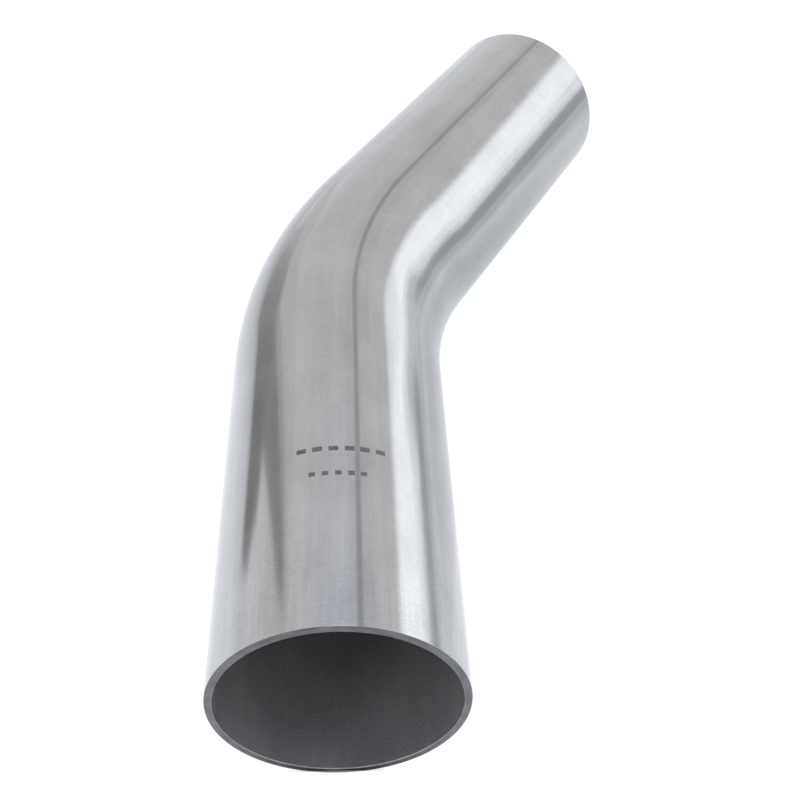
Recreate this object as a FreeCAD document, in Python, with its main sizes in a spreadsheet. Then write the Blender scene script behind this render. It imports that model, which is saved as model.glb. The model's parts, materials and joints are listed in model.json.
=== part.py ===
"""Elbow in stainless tube with plain ends: one length of seam-welded tube, bent once in a single plane.

The wall is rolled up from flat strip until its two long edges nearly meet. A longitudinal weld closes that gap
from one end to the other: it is dressed flush outside and keeps a slight crown in the bore. The seam lies close
to the bend's neutral line. Both ends are cut square and deburred inside and outside.

Millimetres and degrees. The origin is the centre of the inlet's cut face. The inlet leg runs along +Y, the bend
turns towards +X in the XY plane, and +Z is up when the elbow lies on its side.
"""

import FreeCAD, Part
import math
import os

import Sketcher
from FreeCAD import Vector

SHEET = "dimensions"
DRIVING = {
    "outside_diameter": 63.5,
    "wall_thickness": 2.0,
    "centre_to_end": 152.4,  # from the crossing of the two legs' centrelines to either cut face
    "bend_radius": 139.7,  # of the centreline
    "bend_angle": 30.0,
    "deburr": 0.3,
    "seam_angle": 82.0,  # around the tube, from the inside of the bend towards the top
    "seam_width": 1.4,  # outside
    "seam_crown": 0.15,  # how far the weld stands into the bore
}
OUTSIDE_RADIUS = f"{SHEET}.outside_diameter / 2"
BORE_RADIUS = f"({OUTSIDE_RADIUS} - {SHEET}.wall_thickness)"
LEG_LENGTH = f"({SHEET}.centre_to_end - {SHEET}.bend_radius * tan({SHEET}.bend_angle / 2))"
SEAM_HALF_ANGLE = f"({SHEET}.seam_width / {SHEET}.outside_diameter * 180 / pi)"
ROOT_WIDTH = f"({SHEET}.seam_width * {BORE_RADIUS} / ({OUTSIDE_RADIUS}))"  # the weld's width in the bore
CROWN_RADIUS = f"({ROOT_WIDTH} ^ 2 / 4 + {SHEET}.seam_crown ^ 2) / (2 * {SHEET}.seam_crown)"
# Where each end's cutting profile is drawn: its Y axis runs into the tube from the centre of the cut face.
END_FRAMES = {
    "inlet": {"Base.x": "0", "Base.y": "0", "Rotation.Angle": "0"},
    "outlet": {
        "Base.x": f"{SHEET}.centre_to_end * sin({SHEET}.bend_angle)",
        "Base.y": f"{SHEET}.centre_to_end * (1 + cos({SHEET}.bend_angle))",
        "Rotation.Angle": f"180 - {SHEET}.bend_angle",
    },
}

START, END, CENTRE = 1, 2, 3  # Sketcher's numbers for the points of a line or an arc
ORIGIN = (-1, START)
VERTICAL_AXIS = -2
PAST_THE_EDGE = 0.6  # how far a deburring profile reaches beyond the metal it removes
VOLUME_TOLERANCE = 1e-3  # of the tube's volume, which the deburred edges are well within


def make_sheet(doc):
    """The driving dimensions: a name and a value in each row."""
    sheet = doc.addObject("Spreadsheet::Sheet", SHEET)
    for row, (name, value) in enumerate(DRIVING.items(), start=1):
        sheet.set(f"A{row}", name)
        sheet.set(f"B{row}", str(value))
        sheet.setAlias(f"B{row}", name)
    doc.recompute()
    return sheet


def sketch_on(body, plane_role, name):
    """An empty sketch on one of the body's own origin planes."""
    sketch = body.newObject("Sketcher::SketchObject", name)
    plane = next(feature for feature in body.Origin.OriginFeatures if feature.Role == plane_role)
    sketch.AttachmentSupport = [(plane, "")]
    sketch.MapMode = "FlatFace"
    return sketch


def tie(sketch, kind, *where):
    sketch.addConstraint(Sketcher.Constraint(kind, *where))


def size(sketch, kind, *where, to):
    """A dimension that follows an expression in the sheet's names."""
    value = sketch.evalExpression(to)
    if kind == "Angle":
        value = math.radians(value)
    index = sketch.addConstraint(Sketcher.Constraint(kind, *where, value))
    sketch.setExpression(f"Constraints[{index}]", to)


def polar(radius, angle, centre=(0.0, 0.0)):
    turn = math.radians(angle)
    return centre[0] + radius * math.cos(turn), centre[1] + radius * math.sin(turn)


def add_line(sketch, start, end):
    return sketch.addGeometry(Part.LineSegment(Vector(*start), Vector(*end)), False)


def add_arc(sketch, centre, radius, first, last):
    """An arc drawn anticlockwise between two angles."""
    circle = Part.Circle(Vector(*centre), Vector(0, 0, 1), radius)
    return sketch.addGeometry(Part.ArcOfCircle(circle, math.radians(first), math.radians(last)), False)


def draw_centreline(body):
    """Inlet leg, bend and outlet leg, from one cut face to the other."""
    sketch = sketch_on(body, "XY_Plane", f"{body.Name}_centreline")
    leg = sketch.evalExpression(LEG_LENGTH)
    radius = sketch.evalExpression(f"{SHEET}.bend_radius")
    angle = sketch.evalExpression(f"{SHEET}.bend_angle")
    bend_end = polar(radius, 180 - angle, centre=(radius, leg))
    outlet_end = polar(leg, 90 - angle, centre=bend_end)
    inlet = add_line(sketch, (0, 0), (0, leg))
    bend = add_arc(sketch, (radius, leg), radius, 180 - angle, 180)
    outlet = add_line(sketch, bend_end, outlet_end)
    tie(sketch, "Coincident", inlet, START, *ORIGIN)
    tie(sketch, "PointOnObject", inlet, END, VERTICAL_AXIS)
    tie(sketch, "Tangent", inlet, END, bend, END)
    tie(sketch, "Tangent", bend, START, outlet, START)
    tie(sketch, "Equal", inlet, outlet)
    size(sketch, "Distance", inlet, to=LEG_LENGTH)
    size(sketch, "Radius", bend, to=f"{SHEET}.bend_radius")
    size(sketch, "Angle", bend, to=f"{SHEET}.bend_angle")
    return sketch


def draw_arc_about_tube(sketch, radius_expression, first, last):
    radius = sketch.evalExpression(radius_expression)
    arc = add_arc(sketch, (0, 0), radius, first, last)
    tie(sketch, "Coincident", arc, CENTRE, *ORIGIN)
    size(sketch, "Radius", arc, to=radius_expression)
    return arc


def draw_edge_at_seam(sketch, angle_expression, bore_point, outside_point):
    """The straight edge where wall and weld meet, on a radius. Each point is an arc's number and its end."""
    angle = sketch.evalExpression(angle_expression)
    bore = polar(sketch.evalExpression(BORE_RADIUS), angle)
    outside = polar(sketch.evalExpression(OUTSIDE_RADIUS), angle)
    edge = add_line(sketch, bore, outside)
    tie(sketch, "Coincident", edge, START, *bore_point)
    tie(sketch, "Coincident", edge, END, *outside_point)
    tie(sketch, "PointOnObject", *ORIGIN, edge)
    size(sketch, "Angle", edge, to=angle_expression)


def seam_edge_angles(sketch):
    """The weld's two edges around the tube: each one's expression and its value."""
    near = f"{SHEET}.seam_angle - {SEAM_HALF_ANGLE}"
    far = f"{SHEET}.seam_angle + {SEAM_HALF_ANGLE}"
    return (near, sketch.evalExpression(near)), (far, sketch.evalExpression(far))


def draw_wall_section(body):
    """The rolled strip: nearly a full ring, open where its edges face each other across the seam."""
    sketch = sketch_on(body, "XZ_Plane", f"{body.Name}_section")
    (near, near_angle), (far, far_angle) = seam_edge_angles(sketch)
    outside = draw_arc_about_tube(sketch, OUTSIDE_RADIUS, far_angle, near_angle + 360)
    bore = draw_arc_about_tube(sketch, BORE_RADIUS, far_angle, near_angle + 360)
    draw_edge_at_seam(sketch, far, (bore, START), (outside, START))
    draw_edge_at_seam(sketch, near, (bore, END), (outside, END))
    return sketch


def draw_weld_section(body):
    """The weld: flush with the outside, edge to edge with the strip, and crowned towards the bore."""
    sketch = sketch_on(body, "XZ_Plane", f"{body.Name}_section")
    (near, near_angle), (far, far_angle) = seam_edge_angles(sketch)
    outside = draw_arc_about_tube(sketch, OUTSIDE_RADIUS, near_angle, far_angle)
    seam_angle = (near_angle + far_angle) / 2
    crown_radius = sketch.evalExpression(CROWN_RADIUS)
    crown_top = sketch.evalExpression(f"{BORE_RADIUS} - {SHEET}.seam_crown")
    spread = math.degrees(math.asin(sketch.evalExpression(ROOT_WIDTH) / 2 / crown_radius))
    centre = polar(crown_top + crown_radius, seam_angle)
    first = seam_angle + 180 - spread
    crown = add_arc(sketch, centre, crown_radius, first, first + 2 * spread)
    draw_edge_at_seam(sketch, near, (crown, END), (outside, START))
    draw_edge_at_seam(sketch, far, (crown, START), (outside, END))
    size(sketch, "Radius", crown, to=CROWN_RADIUS)
    return sketch


def draw_triangle(sketch, corners):
    """A right-angled triangle with level and upright legs, placed by its first corner: the right angle."""
    square, level, upright = corners
    sides = [add_line(sketch, square, level), add_line(sketch, level, upright), add_line(sketch, upright, square)]
    for side, following in zip(sides, sides[1:] + sides[:1]):
        tie(sketch, "Coincident", side, END, following, START)
    tie(sketch, "Horizontal", sides[0])
    tie(sketch, "Vertical", sides[2])
    tie(sketch, "Equal", sides[0], sides[2])
    return sides


def draw_deburring(body, end):
    """Two 45 degree profiles that break the inner and the outer corner of one cut face when turned about Y."""
    sketch = sketch_on(body, "XY_Plane", f"{body.Name}_{end}_deburring")
    for part, expression in END_FRAMES[end].items():
        sketch.setExpression(f"AttachmentOffset.{part}", expression)
    outer_reach = f"{OUTSIDE_RADIUS} + {PAST_THE_EDGE}"
    bore_reach = f"{BORE_RADIUS} - {PAST_THE_EDGE}"
    leg = f"{SHEET}.deburr + 2 * {PAST_THE_EDGE}"
    length = sketch.evalExpression(leg)
    for reach, inward in ((outer_reach, -1), (bore_reach, 1)):
        radius = sketch.evalExpression(reach)
        square = (radius, -PAST_THE_EDGE)
        level = (radius + inward * length, -PAST_THE_EDGE)
        upright = (radius, length - PAST_THE_EDGE)
        sides = draw_triangle(sketch, (square, level, upright))
        size(sketch, "DistanceX", *ORIGIN, sides[0], START, to=reach)
        size(sketch, "DistanceY", sides[0], START, *ORIGIN, to=str(PAST_THE_EDGE))
        size(sketch, "Distance", sides[0], to=leg)
    return sketch


def deburr(doc, body, end):
    """Turns the deburring profiles about the tube's axis and checks that they took metal away."""
    before = body.Shape.Volume
    groove = body.newObject("PartDesign::Groove", f"{body.Name}_{end}_deburred")
    groove.Profile = draw_deburring(body, end)
    groove.ReferenceAxis = (groove.Profile[0], ["V_Axis"])
    groove.Angle = 360
    doc.recompute()
    if not body.Shape.Volume < before:
        raise RuntimeError(f"{groove.Name} removed nothing")


def make_swept_body(doc, name, draw_section):
    """A body with one section carried along the centreline, deburred at both ends."""
    body = doc.addObject("PartDesign::Body", name)
    body.Label = name
    sweep = body.newObject("PartDesign::AdditivePipe", f"{name}_sweep")
    sweep.Profile = draw_section(body)
    sweep.Spine = draw_centreline(body)
    doc.recompute()
    for end in END_FRAMES:
        deburr(doc, body, end)
    body.Placement = FreeCAD.Placement()
    return body


def check_objects(doc):
    for item in doc.Objects:
        if "Invalid" in item.State or "Error" in item.State:
            raise RuntimeError(f"{item.Name} failed: {item.State}")


def check_bodies(sheet, bodies):
    """Each body is one sound solid, and together they hold the volume of a whole tube."""
    for body in bodies:
        if body.Shape.isNull() or not body.Shape.isValid() or len(body.Shape.Solids) != 1:
            raise RuntimeError(f"{body.Label} is not one valid solid")
    ring = sheet.evalExpression(f"pi * (({OUTSIDE_RADIUS}) ^ 2 - {BORE_RADIUS} ^ 2)")
    length = sheet.evalExpression(f"2 * {LEG_LENGTH} + {SHEET}.bend_radius * {SHEET}.bend_angle * pi / 180")
    total = sum(body.Shape.Volume for body in bodies)
    if abs(total / (ring * length) - 1) > VOLUME_TOLERANCE:
        raise RuntimeError(f"the pieces hold {total:.0f} mm3, a whole tube {ring * length:.0f} mm3")
    if bodies[0].Shape.common(bodies[1].Shape).Volume > VOLUME_TOLERANCE * bodies[1].Shape.Volume:
        raise RuntimeError("the wall and the weld overlap")


def export(bodies):
    os.makedirs("parts", exist_ok=True)
    for body in bodies:
        body.Shape.exportStep(f"parts/{body.Label}.step")
        print(f"{body.Label}: {body.Shape.Volume:.1f} mm3")


def main():
    doc = FreeCAD.newDocument("tube_elbow")
    sheet = make_sheet(doc)
    bodies = [
        make_swept_body(doc, "tube_wall", draw_wall_section),
        make_swept_body(doc, "seam_weld", draw_weld_section),
    ]
    doc.recompute()
    check_objects(doc)
    check_bodies(sheet, bodies)
    export(bodies)


main()
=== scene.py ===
"""Looks for the tube elbow: polished, seam-welded stainless tube on its side on a pale studio floor.

Two pieces replace the two CAD nodes with finely divided meshes of the same size: the rolled wall and
the weld. Both are swept along the tube's centreline. Their UV map is in metres, around the tube and
along it, so that the polishing lines follow the bend. Metres throughout, in the CAD frame.
"""

import json
import math

import bpy
from mathutils import Matrix, Vector, noise


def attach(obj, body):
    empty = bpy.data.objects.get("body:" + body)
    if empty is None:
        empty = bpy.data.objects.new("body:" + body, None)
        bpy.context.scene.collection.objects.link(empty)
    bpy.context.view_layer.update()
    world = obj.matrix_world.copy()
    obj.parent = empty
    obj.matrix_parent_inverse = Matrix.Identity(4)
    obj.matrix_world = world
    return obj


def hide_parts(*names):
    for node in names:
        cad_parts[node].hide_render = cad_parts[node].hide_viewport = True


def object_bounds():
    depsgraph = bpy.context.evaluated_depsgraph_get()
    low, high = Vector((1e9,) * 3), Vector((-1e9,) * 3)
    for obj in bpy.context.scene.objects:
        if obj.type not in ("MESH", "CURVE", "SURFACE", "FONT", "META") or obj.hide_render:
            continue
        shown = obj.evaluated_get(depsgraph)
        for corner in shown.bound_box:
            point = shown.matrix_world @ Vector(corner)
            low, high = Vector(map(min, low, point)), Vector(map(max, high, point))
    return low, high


# The tube, beyond what the frame gives.
DEBURR = 0.0003
SEAM_ANGLE = math.radians(82)  # around the tube, from the inside of the bend towards the top
SEAM_WIDTH = 0.0014
SEAM_CROWN = 0.00015
CROWN_FADE = 0.0015  # the stretch at each end over which the crown is dressed down
RIPPLE_HEIGHT = 0.00004  # of the weld's surface in the bore
RIPPLE_PITCH = 0.0016
RIPPLE_BOW = 0.35  # how far a ripple's middle runs ahead of its ends, in pitches
RIPPLE_WANDER = 0.3  # its unevenness, in pitches and in heights
RIPPLE_WANDER_RATE = 400  # changes of the unevenness to the metre
WAVE_HEIGHT = 0.00010  # of the waves on the inside of the bend
WAVE_ANGLE = math.radians(10)
WAVE_SPREAD = math.radians(60)
WAVE_REACH = 0.020  # how far they run out into the legs
WAVE_WIDTH = 0.014  # around the tube
WAVE_LENGTH = 0.010  # along it
NOISE_SLICE = 0.5  # the plane of the noise that ripples and waves are taken from

# How finely the meshes are divided.
WALL_DIVISIONS = 240  # around the tube, from one edge of the seam to the other
WALL_SPACING = 0.003
WELD_DIVISIONS = 8
WELD_SPACING = 0.0004
CORNER_STEPS = 3
DISC_DIVISIONS = 96
CONTACT_STEPS = 60
SUPPORT = 0.00015  # how far from a corner the first ring lies, so that flat stretches shade flat
SHARP_ANGLE = math.radians(50)

# The etched mark on top of the inlet leg: two rows of plain dashes. Each row gives its place along the
# tube, its height, and the divisions of the wall where each dash starts and ends. They are counted from
# the seam, towards the outside of the bend, and below zero towards the inside.
MARK_ROWS = [
    (0.0541, 0.0016, [(-8, -5), (-3, 0), (0, 3), (5, 8), (10, 13), (15, 18)]),
    (0.0457, 0.0014, [(-2, 0), (0, 2), (4, 6), (8, 10), (12, 14)]),
]

# The camera: where it stands, where it looks and its lens.
CAMERA_PLACE = (-0.0033, -0.1460, 0.2387)
CAMERA_HEADING = math.radians(5.04)  # from +Y towards +X
CAMERA_TILT = math.radians(-43.43)
CAMERA_ROLL = math.radians(3.87)
CAMERA_LENS = 51.35
CAMERA_CLIP = (0.01, 50)

# The softboxes: where each one stands, the way it faces, its width and height, and its radiance. The
# right one is three nested layers that all face left, so that it fades towards its edges.
SOFTBOXES = [
    ("overhead_softbox", (0.03, 0.12, 1.10), (0, 0, -1), (0.45, 0.70), 1.3),
    ("left_back_softbox", (-1.20, -0.75, 0.65), (1.20, 0.90, -0.60), (0.9, 0.5), 1.1),
    ("right_back_softbox", (1.15, -0.85, 0.50), (-1.15, 1.0, -0.45), (0.7, 0.4), 1.1),
]
RIGHT_SOFTBOX_COLOUR = (0.87, 0.94, 1.0)
RIGHT_SOFTBOX_LAYERS = [
    ((1.64, 1.80, 0.70), (3.2, 1.06), 0.26),
    ((1.65, 1.75, 0.72), (3.1, 0.90), 0.32),
    ((1.66, 1.15, 0.76), (1.9, 0.66), 0.30),
]

# The cards, which the camera doesn't see and which only show as reflections in the metal. Most are
# darker than the studio around them. The glare cards dim the lower edge of the right softbox, as the
# bend reflects it. Each card is upright, in a plane of equal x, and is given by x, its radiance and its
# corners, as (y, height above the floor).
CARDS = [
    ("low_card", -0.25, 0.31,
     [(0.205, 0.01), (0.20, 0.045), (0.235, 0.078), (0.27, 0.09), (0.32, 0.095), (0.32, 0.01)]),
    ("low_card_end", -0.25, 0.35,
     [(0.32, 0.01), (0.32, 0.095), (0.385, 0.10), (0.385, 0.01)]),
    ("fading_card_1", -0.25, 0.40,
     [(0.385, 0), (0.385, 0.12), (0.46, 0.14), (0.46, 0)]),
    ("fading_card_2", -0.25, 0.45,
     [(0.46, 0), (0.46, 0.14), (0.53, 0.135), (0.53, 0)]),
    ("fading_card_3", -0.25, 0.52,
     [(0.53, 0), (0.53, 0.13), (0.61, 0.12), (0.61, 0)]),
    ("fading_card_4", -0.25, 0.62,
     [(0.61, 0), (0.61, 0.12), (0.74, 0.09), (0.74, 0)]),
    ("tall_card", -0.40, 0.37,
     [(0.47, 0), (0.37, 0.28), (0.37, 0.37), (0.41, 0.36), (0.57, 0.17), (0.62, 0.15), (0.62, 0)]),
    ("far_card", -0.41, 0.58,
     [(0.47, 0), (0.37, 0.30), (0.38, 0.44), (0.45, 0.40), (0.66, 0.19), (0.85, 0.14), (1.10, 0)]),
    ("faint_card", -0.42, 0.74,
     [(0.50, 0), (0.42, 0.46), (0.60, 0.48), (1.0, 0.34), (1.5, 0.26), (1.8, 0)]),
    ("right_card", 0.50, 0.56,
     [(0.30, 0), (0.30, 0.079), (0.62, 0.079), (0.62, 0)]),
    ("glare_card_1", 0.505, 0.80,
     [(0.52, 0.05), (0.53, 0.10), (0.57, 0.14), (0.60, 0.165), (0.65, 0.15), (0.66, 0.09), (0.64, 0.05)]),
    ("glare_card_2", 0.51, 1.25,
     [(0.49, 0.05), (0.50, 0.145), (0.56, 0.195), (0.60, 0.23), (0.66, 0.22), (0.68, 0.15),
      (0.66, 0.05)]),
]

# The table: its radius, how much light it scatters, the distances between which its own brightness falls,
# and the brightness before and after. Its own brightness is a glow, painted light: a pool about the tube
# that falls off further out.
TABLE_RADIUS = 6.0
TABLE_DIFFUSE = 0.10
TABLE_FALL = (0.36, 0.5)
TABLE_BRIGHTNESS = (0.96, 0.76)

# Round, soft-edged cards that lie on the table, each a step above the last. Each is given by its
# centre, the radii where its middle ends and its rim begins, and the brightness of both. They lie to the
# left, to the right, inside the bend and just in front of the inlet.
SHADES = [
    ("left_shade", (-0.24, 0.46), 0.03, 0.35, 0.60, 1.0),
    ("right_shade", (0.33, 0.36), 0.05, 0.22, 0.72, 0.97),
    ("bend_shade", (0.09, 0.215), 0.02, 0.14, 0.75, 0.95),
    ("inlet_shade", (0.0, -0.002), 0.004, 0.030, 0.04, 0.96),
]
SHADE_STEP = 0.0003

# The darkness under the tube: its height above the table, its width to either side of the line of
# contact, and its brightness at that line and at its edges.
CONTACT_LIFT = 0.0004
CONTACT_WIDTH = 0.012
CONTACT_BRIGHTNESS = (0.12, 0.96)

# The light from all round, by the height of the direction that it comes from: 0 level, 1 straight above.
SKY = [
    (0.10, (0.90, 0.91, 0.93, 1)),
    (0.30, (0.80, 0.80, 0.81, 1)),
    (0.66, (0.80, 0.80, 0.81, 1)),
    (0.80, (0.775, 0.80, 0.87, 1)),
]

BLACK = (0, 0, 0, 1)
WHITE = (1, 1, 1, 1)
COOL = (0.94, 0.98, 1.04, 1)  # of the cards to the right, which stand before the cool softbox
TABLE_COLOUR = (0.975, 1.0, 1.055, 1)
UV_MAP = "tube_metres"
OUTSIDE, MARK, EDGE, CUT, BORE = range(5)  # material slots of both pieces


# ------------------------------------------------------------------------------------------ geometry


class Centreline:
    """A straight inlet leg along +Y, a bend towards +X and a straight outlet leg."""

    def __init__(self, mounts):
        inlet, outlet = mounts["inlet_spigot"], mounts["outlet_spigot"]
        self.outside = inlet["dims"]["r_mm"] / 1000
        self.bore = mounts["inlet_bore"]["dims"]["r_mm"] / 1000
        self.angle = Vector(outlet["axis"]).angle(-Vector(inlet["axis"]))
        centre_to_end = outlet["pos_m"][0] / math.sin(self.angle)
        self.leg = inlet["dims"]["length_mm"] / 1000 + DEBURR
        self.bend_radius = (centre_to_end - self.leg) / math.tan(self.angle / 2)
        self.bend_end = self.leg + self.bend_radius * self.angle
        self.length = self.bend_end + self.leg

    def at(self, along):
        """The point that far along the tube, and the direction from it to the inside of the bend."""
        turn = min(max((along - self.leg) / self.bend_radius, 0.0), self.angle)
        ahead = Vector((math.sin(turn), math.cos(turn), 0))
        inside = Vector((ahead.y, -ahead.x, 0))
        if along < self.leg:
            return Vector((0, along, 0)), inside
        bend_centre = Vector((self.bend_radius, self.leg, 0))
        beyond = max(along - self.bend_end, 0.0)
        return bend_centre - self.bend_radius * inside + beyond * ahead, inside

    def point(self, along, around, radius):
        """A point of the wall. around is 0 inside the bend and a quarter turn at the top."""
        centre, inside = self.at(along)
        return centre + radius * (math.cos(around) * inside + math.sin(around) * Vector((0, 0, 1)))


def spaced(start, end, spacing):
    """Evenly spaced values from start up to, but not including, end."""
    steps = max(1, round((end - start) / spacing))
    return [start + (end - start) * i / steps for i in range(steps)]


def stations(line, spacing, extra=()):
    """Places along the tube between its deburred corners, with the bend's ends and any extra ones."""
    ends = [DEBURR, DEBURR + SUPPORT, line.length - DEBURR - SUPPORT, line.length - DEBURR]
    stops = sorted([*ends, line.leg, line.bend_end, *extra])
    places = [place for start, end in zip(stops, stops[1:]) for place in spaced(start, end, spacing)]
    return places + [stops[-1]]


def corner(line, outlet, outside):
    """The rounded corner between a wall and a cut face, as (along, radius) from the wall to the face."""
    face, inwards = (line.length, -1) if outlet else (0.0, 1)
    radius, into_wall = (line.outside, -1) if outside else (line.bore, 1)
    points = []
    for step in range(1, CORNER_STEPS + 1):
        turn = step / CORNER_STEPS * math.pi / 2
        along = face + inwards * DEBURR * (1 - math.sin(turn))
        points.append((along, radius + into_wall * DEBURR * (1 - math.cos(turn))))
    return points


def end_profile(line, outlet):
    """From the outside round the cut face to the bore, as (along, radius), without the walls' points."""
    face = line.length if outlet else 0.0
    outer, inner = line.outside - DEBURR, line.bore + DEBURR
    across = [(face, outer - SUPPORT), (face, (outer + inner) / 2), (face, inner + SUPPORT)]
    return corner(line, outlet, outside=True) + across + corner(line, outlet, outside=False)[::-1]


def wall_outline(line, places):
    """The wall cut lengthwise: a closed loop of (along, radius, slot of the strip to the next point)."""
    outlet, inlet = end_profile(line, outlet=True), end_profile(line, outlet=False)[::-1]
    points = [(along, line.outside) for along in places] + outlet
    points += [(along, line.bore) for along in places[::-1]] + inlet
    walls = len(places) - 1
    cut = len(outlet) - CORNER_STEPS + 1
    slots = [OUTSIDE] * walls + [CUT] * cut + [EDGE] * CORNER_STEPS
    slots += [BORE] * walls + [EDGE] * CORNER_STEPS + [CUT] * cut
    return [(along, radius, slot) for (along, radius), slot in zip(points, slots, strict=True)]


def sweep_points(line, angles, outline, rise, dent):
    """The outline at each angle of the wall, raised in the bore and dented outside."""
    points = []
    for angle in angles:
        across = (angle - angles[0]) / (angles[-1] - angles[0]) * 2 - 1
        for along, radius, _ in outline:
            if rise is not None and radius == line.bore:
                radius -= rise(along, across)
            if dent is not None and radius == line.outside:
                radius -= dent(along, angle)
            points.append(line.point(along, angle, radius))
    return points


def outline_lengths(outline):
    """How far along the outline each of its points is, and the whole way round at the end."""
    lengths = [0.0]
    for (along, radius, _), (next_along, next_radius, _) in zip(outline, outline[1:] + outline[:1]):
        lengths.append(lengths[-1] + math.hypot(next_along - along, next_radius - radius))
    return lengths


def is_etched(column, middle, marked):
    return any(first <= column < end and low < middle < high for first, end, low, high in marked)


def sweep_piece(name, line, angles, places, materials, rise=None, dent=None, marked=()):
    """A solid between two angles of the wall, with its cut faces.

    rise(along, across) stands up from the bore and dent(along, angle) goes down from the outside.
    marked holds (first division, end division, from, to) for each etched dash.
    """
    outline = wall_outline(line, places)
    lengths = outline_lengths(outline)
    size = len(outline)
    verts = sweep_points(line, angles, outline, rise, dent)
    faces, slots, uvs = [], [], []
    for column, (angle, next_angle) in enumerate(zip(angles, angles[1:])):
        left, right = (angle - SEAM_ANGLE) * line.outside, (next_angle - SEAM_ANGLE) * line.outside
        for row, (along, _, slot) in enumerate(outline):
            following = (row + 1) % size
            middle = (along + outline[following][0]) / 2
            faces.append([column * size + row, column * size + following,
                          (column + 1) * size + following, (column + 1) * size + row])
            slots.append(MARK if slot == OUTSIDE and is_etched(column, middle, marked) else slot)
            bottom, top = lengths[row] + DEBURR, lengths[row + 1] + DEBURR
            uvs.append([(left, bottom), (left, top), (right, top), (right, bottom)])
    for column, flip in ((0, True), (len(angles) - 1, False)):
        for cap in edge_caps(len(places), size):
            faces.append([column * size + row for row in (cap[::-1] if flip else cap)])
            slots.append(BORE)
            uvs.append([(0.0, 0.0)] * len(cap))
    return new_object(name, verts, faces, slots, uvs, materials)


def edge_caps(places, size):
    """The faces of a piece's straight edge beside the seam, each a list of rows of the outline."""
    last_bore = size - (size - 2 * places) // 2 - 1
    caps = []
    for row in range(places - 1):
        caps.append([row, row + 1, last_bore - row - 1, last_bore - row])
    caps.append(list(range(places - 1, places + (size - 2 * places) // 2 + 1)))
    caps.append([0, last_bore, *range(last_bore + 1, size)])
    return caps


def new_object(name, verts, faces, slots, uvs, materials):
    """A smooth-shaded mesh object. slots and uvs hold each face's material slot and corner places."""
    mesh = bpy.data.meshes.new(name)
    mesh.from_pydata(verts, [], faces)
    for material in materials:
        mesh.materials.append(material)
    layer = mesh.uv_layers.new(name=UV_MAP)
    for loop, place in zip(layer.data, (place for corners in uvs for place in corners)):
        loop.uv = place
    for polygon, slot in zip(mesh.polygons, slots):
        polygon.material_index = slot
        polygon.use_smooth = True
    mesh.set_sharp_from_angle(angle=SHARP_ANGLE)
    piece = bpy.data.objects.new(name, mesh)
    bpy.context.scene.collection.objects.link(piece)
    return piece


def seam_half_angle(line):
    return SEAM_WIDTH / line.outside / 2


def build_wall(line, materials):
    """The rolled strip, from one edge of the seam round to the other."""
    start = SEAM_ANGLE + seam_half_angle(line)
    turn = 2 * math.pi - 2 * seam_half_angle(line)
    angles = [start + turn * i / WALL_DIVISIONS for i in range(WALL_DIVISIONS + 1)]
    marked = []
    for along, height, row_dashes in MARK_ROWS:
        for first, end in row_dashes:
            wrap = WALL_DIVISIONS if first < 0 else 0
            marked.append((first + wrap, end + wrap, along - height / 2, along + height / 2))
    edges = sorted({edge for dash in marked for edge in dash[2:]})

    def dent(along, angle):
        """The faint waves that bending leaves inside the bend."""
        from_bend = max(line.leg - along, along - line.bend_end, 0.0)
        turn = abs((angle - WAVE_ANGLE + math.pi) % (2 * math.pi) - math.pi)
        fade = max(0.0, 1 - from_bend / WAVE_REACH) * max(0.0, 1 - turn / WAVE_SPREAD)
        place = Vector((angle * line.outside / WAVE_WIDTH, along / WAVE_LENGTH, NOISE_SLICE))
        return WAVE_HEIGHT * fade * noise.noise(place)

    places = stations(line, WALL_SPACING, edges)
    return sweep_piece("tube_shell", line, angles, places, materials, dent=dent, marked=marked)


def build_weld(line, materials):
    """The weld between the strip's edges: dressed flush outside, crowned and rippled in the bore."""
    start = SEAM_ANGLE - seam_half_angle(line)
    angles = [start + 2 * seam_half_angle(line) * i / WELD_DIVISIONS for i in range(WELD_DIVISIONS + 1)]

    def rise(along, across):
        hump = 1 - across ** 2
        ends = min(1.0, (along - DEBURR) / CROWN_FADE, (line.length - DEBURR - along) / CROWN_FADE)
        place = Vector((along * RIPPLE_WANDER_RATE, NOISE_SLICE, NOISE_SLICE))
        wander = RIPPLE_WANDER * noise.noise(place)
        ripple = math.sin(2 * math.pi * (along / RIPPLE_PITCH + RIPPLE_BOW * hump + wander))
        return max(ends, 0.0) * hump * (SEAM_CROWN + RIPPLE_HEIGHT * (ripple + wander))

    return sweep_piece("weld_bead", line, angles, stations(line, WELD_SPACING), materials, rise=rise)


# ----------------------------------------------------------------------------------------- materials


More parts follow.
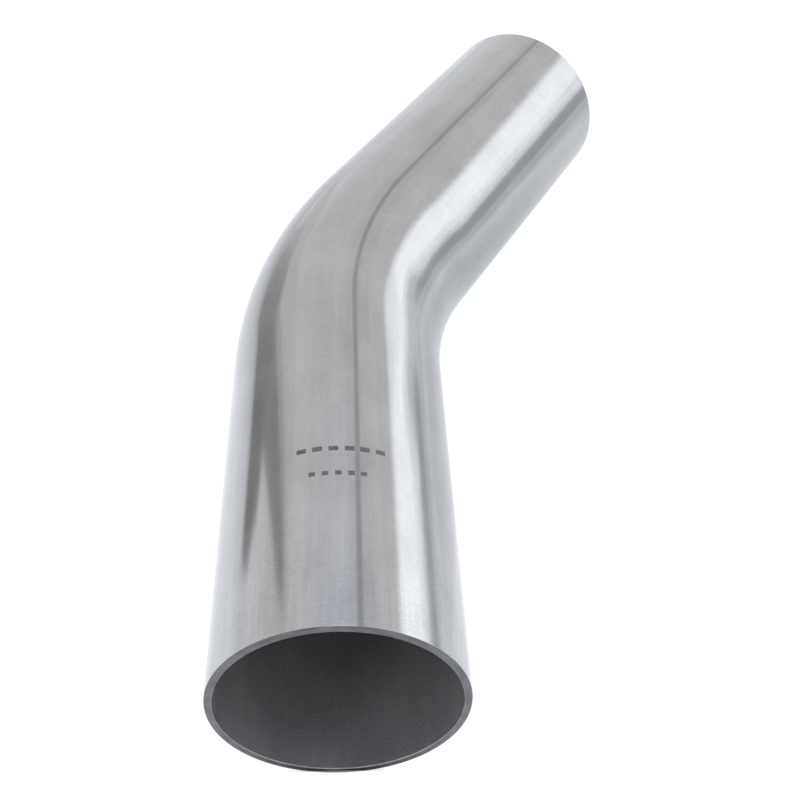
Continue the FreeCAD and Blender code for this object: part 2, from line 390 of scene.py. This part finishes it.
class Shader:
    """Builds one material. Values may be numbers, colours or other nodes' outputs."""

    def __init__(self, name):
        self.material = bpy.data.materials.new(name)
        self.material.use_nodes = True
        self.tree = self.material.node_tree
        self.tree.nodes.clear()
        self.uv = None

    def place(self):
        """The place on the tube, from the UV map in metres."""
        if self.uv is None:
            self.uv = self.node("ShaderNodeUVMap", uv_map=UV_MAP).outputs[0]
        return self.uv

    def node(self, kind, inputs=None, **settings):
        made = self.tree.nodes.new(kind)
        for key, value in settings.items():
            setattr(made, key, value)
        for key, value in (inputs or {}).items():
            self.put(made.inputs[key], value)
        return made

    def put(self, socket, value):
        if isinstance(value, bpy.types.NodeSocket):
            self.tree.links.new(value, socket)
        else:
            socket.default_value = value

    def maths(self, operation, first, second=0.0):
        return self.node("ShaderNodeMath", {0: first, 1: second}, operation=operation).outputs[0]

    def distances(self):
        """The distance around the tube from the seam and the distance along the wall, in metres."""
        split = self.node("ShaderNodeSeparateXYZ", {0: self.place()})
        return split.outputs["X"], split.outputs["Y"]

    def noise(self, around, along, detail=2.0, roughness=0.5, offset=0.0):
        """Noise with that many grains to the metre around and along the tube, between 0 and 1."""
        scaled = self.node(
            "ShaderNodeVectorMath",
            {0: self.place(), 1: (around, along, 1.0), 2: (offset, offset, offset)},
            operation="MULTIPLY_ADD",
        )
        inputs = {"Vector": scaled.outputs[0], "Scale": 1.0, "Detail": detail, "Roughness": roughness}
        return self.node("ShaderNodeTexNoise", inputs).outputs["Fac"]

    def remap(self, value, low, high, to_low, to_high):
        inputs = {"Value": value, "From Min": low, "From Max": high, "To Min": to_low, "To Max": to_high}
        return self.node("ShaderNodeMapRange", inputs).outputs["Result"]

    def blend(self, share, first, second):
        mix = self.node("ShaderNodeMix", data_type="RGBA")
        self.put(mix.inputs["Factor"], share)
        self.put(mix.inputs["A"], first)
        self.put(mix.inputs["B"], second)
        return mix.outputs["Result"]

    def weighted(self, *pairs):
        """The sum of noises, each taken about its middle and times its weight."""
        total = 0.0
        for weight, value in pairs:
            centred = self.maths("SUBTRACT", value, 0.5)
            total = self.maths("ADD", self.maths("MULTIPLY", centred, weight), total)
        return total

    def finish(self, colour, roughness, bump=None, bump_height=0.0, **fixed):
        inputs = {"Base Color": colour, "Roughness": roughness}
        for key, value in fixed.items():
            inputs[key.replace("_", " ")] = value
        surface = self.node("ShaderNodeBsdfPrincipled", inputs)
        if bump is not None:
            inputs = {"Height": bump, "Distance": bump_height, "Strength": 1.0}
            self.put(surface.inputs["Normal"], self.node("ShaderNodeBump", inputs).outputs[0])
        out = self.node("ShaderNodeOutputMaterial")
        self.put(out.inputs["Surface"], surface.outputs[0])
        return self.material


def polished_steel(name, line, light, dark):
    """Bright polished stainless: fine lines along the tube, fainter ones around it, and a cloudy shine.

    A soft stripe along the weld is darkened, painted shade for the wall beside it reflecting darker, and
    the inlet end is scuffed by handling.
    """
    shader = Shader(name)
    around, along = shader.distances()
    fine = shader.noise(2300, 60, detail=3)
    weave = shader.noise(150, 2100, detail=2, offset=3)
    grain = shader.noise(2500, 2100, detail=3, roughness=0.6, offset=13)
    lines = shader.noise(620, 9, detail=3, offset=7)
    streaks = shader.noise(190, 5, detail=3, offset=17)
    cloud = shader.noise(75, 48, detail=3, offset=11)
    mottle = shader.noise(420, 300, detail=3, offset=5)
    from_inlet = shader.maths("ADD", along, shader.weighted((0.03, cloud)))
    scuffed = shader.remap(from_inlet, 0.005, 0.045, 1.0, 0.0)
    texture = shader.weighted((0.7, fine), (0.4, weave), (1.2, grain))
    texture = shader.maths("MULTIPLY", texture, shader.remap(scuffed, 0, 1, 0.85, 2.0))
    shade = shader.weighted((0.35, lines), (0.7, streaks), (1.2, cloud), (0.5, mottle))
    shade = shader.maths("MULTIPLY", shade, shader.remap(scuffed, 0, 1, 1.0, 1.5))
    colour = shader.blend(shader.maths("ADD", shader.maths("ADD", shade, texture), 0.5), dark, light)
    # Painted shade: darker within a few millimetres of the seam, where the wall beside the weld reflects
    # darker.
    from_seam = shader.maths("PINGPONG", around, math.pi * line.outside)
    from_seam = shader.maths("ADD", from_seam, shader.weighted((0.003, lines), (0.004, cloud)))
    colour = shader.blend(shader.remap(from_seam, 0.0002, 0.0045, 0.13, 0.0), colour, BLACK)
    toe = shader.maths("ABSOLUTE", shader.maths("ADD", around, shader.weighted((0.002, lines))))
    colour = shader.blend(shader.remap(toe, 0.0, 0.0011, 0.24, 0.0), colour, BLACK)
    uneven = shader.weighted((0.05, lines), (0.10, cloud), (0.05, streaks))
    roughness = shader.maths("ADD", uneven, 0.12)
    relief = shader.maths("ADD", texture, shader.weighted((0.8, lines), (0.35, mottle)))
    return shader.finish(colour, roughness, relief, 0.000004, Metallic=1.0)


def etched_steel():
    """The etched mark: dark and dull, in fine hatched lines."""
    shader = Shader("etched_steel")
    hatch = shader.noise(300, 5200, detail=1)
    grain = shader.noise(1800, 1800, detail=2, offset=2)
    share = shader.remap(shader.weighted((1.0, hatch), (0.8, grain)), -0.25, 0.25, 0.0, 1.0)
    colour = shader.blend(share, (0.11, 0.11, 0.115, 1), (0.24, 0.24, 0.245, 1))
    return shader.finish(colour, shader.remap(share, 0, 1, 0.55, 0.42), hatch, 0.000008, Metallic=0.9)


def cut_steel(name, light, dark, dullest):
    """The cut ends and their inner edges: facing lines around the rim, with duller patches."""
    shader = Shader(name)
    facing = shader.noise(60, 9000, detail=3)
    patches = shader.noise(220, 500, detail=3, offset=4)
    share = shader.maths("ADD", shader.weighted((0.9, facing), (1.3, patches)), 0.5)
    colour = shader.blend(share, dark, light)
    roughness = shader.remap(patches, 0.3, 0.7, dullest - 0.12, dullest)
    return shader.finish(colour, roughness, facing, 0.000012, Metallic=1.0)


def bore_steel():
    """The bore: the strip's own dull skin, with a grain and faint drawing lines along it. Its grey is far
    darker than the outside's, partly painted shade for the inside of the tube.
    """
    shader = Shader("bore_steel")
    grain = shader.noise(3200, 2400, detail=3, roughness=0.65)
    lines = shader.noise(900, 14, detail=3, offset=9)
    cloud = shader.noise(60, 45, detail=3, offset=1)
    share = shader.maths("ADD", shader.weighted((2.8, grain), (0.25, lines), (0.8, cloud)), 0.5)
    # Painted shade, in part: this grey is far darker than the steel outside, for the shaded inside of the
    # tube.
    colour = shader.blend(share, (0.105, 0.107, 0.111, 1), (0.275, 0.28, 0.285, 1))
    roughness = shader.remap(grain, 0.3, 0.7, 0.50, 0.64)
    return shader.finish(colour, roughness, grain, 0.000014, Metallic=0.2)


# --------------------------------------------------------------------------------- studio and camera


def softbox(name, place, forward, size, radiance, colour=(1, 1, 1)):
    """An upright rectangular light of even brightness that faces forward, out of the camera's sight."""
    data = bpy.data.lights.new(name, "AREA")
    data.shape = "RECTANGLE"
    data.size, data.size_y = size
    data.energy = radiance * size[0] * size[1] * math.pi
    data.color = colour
    lamp = bpy.data.objects.new(name, data)
    aim = Vector(forward).to_track_quat("-Z", "Y").to_matrix().to_4x4()
    lamp.matrix_world = Matrix.Translation(place) @ aim
    lamp.visible_camera = False
    bpy.context.scene.collection.objects.link(lamp)


def emission(name, colour, strength):
    shader = Shader(name)
    glow = shader.node("ShaderNodeEmission", {"Color": colour, "Strength": strength})
    out = shader.node("ShaderNodeOutputMaterial")
    shader.put(out.inputs["Surface"], glow.outputs[0])
    return shader.material


def build_card(name, floor_level, x, colour, radiance, corners):
    """An upright card that only shows as a reflection in the metal."""
    mesh = bpy.data.meshes.new(name)
    places = [(x, y, floor_level + height) for y, height in corners]
    mesh.from_pydata(places, [], [list(range(len(places)))])
    mesh.materials.append(emission(name, colour, radiance))
    card = bpy.data.objects.new(name, mesh)
    card.visible_camera = card.visible_diffuse = card.visible_shadow = False
    bpy.context.scene.collection.objects.link(card)


def disc(name, centre, radius, near, far, middle, rim, diffuse):
    """A level disc that glows from within: middle up to near from its centre, turning to rim at far."""
    turns = [2 * math.pi * i / DISC_DIVISIONS for i in range(DISC_DIVISIONS)]
    mesh = bpy.data.meshes.new(name)
    ring = [centre + radius * Vector((math.cos(turn), math.sin(turn), 0)) for turn in turns]
    mesh.from_pydata(ring, [], [list(range(DISC_DIVISIONS))])
    shader = Shader(name)
    position = shader.node("ShaderNodeNewGeometry").outputs["Position"]
    distance = shader.node("ShaderNodeVectorMath", {0: position, 1: centre}, operation="DISTANCE")
    lit = shader.remap(distance.outputs["Value"], near, far, middle, rim)
    surface = shader.node("ShaderNodeBsdfPrincipled", {
        "Base Color": (diffuse, diffuse, diffuse, 1), "Roughness": 0.8, "Specular IOR Level": 0.0,
        "Emission Color": TABLE_COLOUR, "Emission Strength": lit})
    out = shader.node("ShaderNodeOutputMaterial")
    shader.put(out.inputs["Surface"], surface.outputs[0])
    mesh.materials.append(shader.material)
    made = bpy.data.objects.new(name, mesh)
    bpy.context.scene.collection.objects.link(made)
    return made


def build_floor(level, centre):
    """A pale table that glows, painted light that is even about the tube and falls off into the studio
    further out, and the soft shades on it.
    """
    table_centre = Vector((centre.x, centre.y, level))
    # Painted light: the table glows, brightest about the tube and falling off further out.
    disc("floor", table_centre, TABLE_RADIUS, *TABLE_FALL, *TABLE_BRIGHTNESS, TABLE_DIFFUSE)
    for step, (name, (x, y), near, far, middle, rim) in enumerate(SHADES, 1):
        shade_centre = Vector((x, y, level + SHADE_STEP * step))
        shade = disc(name, shade_centre, far, near, far, middle, rim, 0)
        shade.visible_camera = shade.visible_diffuse = shade.visible_shadow = False


def build_contact_shade(line, level):
    """The darkness where the tube touches the table: a strip under its length, fading at both sides."""
    reach = line.length - 2 * SUPPORT
    places = [SUPPORT + reach * i / CONTACT_STEPS for i in range(CONTACT_STEPS + 1)]
    verts, faces, uvs = [], [], []
    for along in places:
        centre, inside = line.at(along)
        verts += [centre + side * CONTACT_WIDTH * inside + Vector((0, 0, level)) for side in (-1, 0, 1)]
    for row in range(CONTACT_STEPS):
        for column in range(2):
            corner_index = row * 3 + column
            faces.append([corner_index, corner_index + 1, corner_index + 4, corner_index + 3])
            uvs.append([(column - 1, row), (column, row), (column, row + 1), (column - 1, row + 1)])
    shader = Shader("contact_shade")
    from_line = shader.maths("ABSOLUTE", shader.distances()[0])
    brightness = shader.remap(from_line, 0, 1, *CONTACT_BRIGHTNESS)
    glow = shader.node("ShaderNodeEmission", {"Strength": brightness})
    out = shader.node("ShaderNodeOutputMaterial")
    shader.put(out.inputs["Surface"], glow.outputs[0])
    strip = new_object("contact_shade", verts, faces, [0] * len(faces), uvs, [shader.material])


def build_world():
    """Even, soft light from all round, a little darker above and cooler overhead."""
    world = bpy.data.worlds.new("studio")
    world.use_nodes = True
    tree = world.node_tree
    tree.nodes.clear()
    direction = tree.nodes.new("ShaderNodeTexCoord").outputs["Generated"]
    height = tree.nodes.new("ShaderNodeSeparateXYZ")
    tree.links.new(direction, height.inputs[0])
    ramp = tree.nodes.new("ShaderNodeValToRGB")
    elements = ramp.color_ramp.elements
    for index, (position, colour) in enumerate(SKY):
        element = elements[index] if index < len(elements) else elements.new(position)
        element.position = position
        element.color = colour
    tree.links.new(height.outputs["Z"], ramp.inputs[0])
    background = tree.nodes.new("ShaderNodeBackground")
    tree.links.new(ramp.outputs[0], background.inputs["Color"])
    out = tree.nodes.new("ShaderNodeOutputWorld")
    tree.links.new(background.outputs[0], out.inputs["Surface"])
    bpy.context.scene.world = world


def build_studio(low, high, line):
    build_floor(low.z, (low + high) / 2)
    build_contact_shade(line, low.z + CONTACT_LIFT)
    build_world()
    for place, size, radiance in RIGHT_SOFTBOX_LAYERS:
        softbox("right_softbox", place, (-1, 0, 0), size, radiance, RIGHT_SOFTBOX_COLOUR)
    for name, place, forward, size, radiance in SOFTBOXES:
        softbox(name, place, forward, size, radiance)
    for name, x, radiance, corners in CARDS:
        build_card(name, low.z, x, COOL if x > 0 else WHITE, radiance, corners)


def build_camera():
    data = bpy.data.cameras.new("camera")
    data.lens = CAMERA_LENS
    data.clip_start, data.clip_end = CAMERA_CLIP
    camera = bpy.data.objects.new("camera", data)
    turn = Matrix.Rotation(-CAMERA_HEADING, 4, "Z") @ Matrix.Rotation(math.pi / 2 + CAMERA_TILT, 4, "X")
    camera.matrix_world = Matrix.Translation(CAMERA_PLACE) @ turn @ Matrix.Rotation(CAMERA_ROLL, 4, "Z")
    bpy.context.scene.collection.objects.link(camera)
    bpy.context.scene.camera = camera
    bpy.context.scene.view_settings.view_transform = "Standard"


# --------------------------------------------------------------------------------------------- scene


def dress(piece, node):
    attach(piece, "root")
    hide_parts(node)


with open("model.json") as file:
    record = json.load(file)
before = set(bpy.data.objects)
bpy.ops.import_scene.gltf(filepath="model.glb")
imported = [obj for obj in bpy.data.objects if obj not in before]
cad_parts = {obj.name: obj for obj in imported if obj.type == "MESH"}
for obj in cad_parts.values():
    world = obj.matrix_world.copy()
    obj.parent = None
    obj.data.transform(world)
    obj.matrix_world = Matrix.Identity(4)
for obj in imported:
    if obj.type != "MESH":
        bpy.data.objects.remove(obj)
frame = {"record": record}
cad_box = [list(corner_point) for corner_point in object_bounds()]
line = Centreline({mount["name"]: mount for mount in frame["record"]["mounts"]})

tube_steel = polished_steel("polished_steel", line, (0.58, 0.58, 0.58, 1), (0.46, 0.46, 0.465, 1))
weld_steel = polished_steel("polished_weld", line, (0.55, 0.55, 0.55, 1), (0.42, 0.42, 0.425, 1))
rim_steel = cut_steel("cut_steel", (0.26, 0.26, 0.265, 1), (0.09, 0.09, 0.095, 1), dullest=0.46)
edge_steel = cut_steel("edge_steel", (0.50, 0.50, 0.50, 1), (0.17, 0.17, 0.17, 1), dullest=0.36)
finishes = [etched_steel(), edge_steel, rim_steel, bore_steel()]
dress(build_wall(line, [tube_steel, *finishes]), "tube_wall")
dress(build_weld(line, [weld_steel, *finishes]), "seam_weld")

build_studio(Vector(cad_box[0]), Vector(cad_box[1]), line)
build_camera()
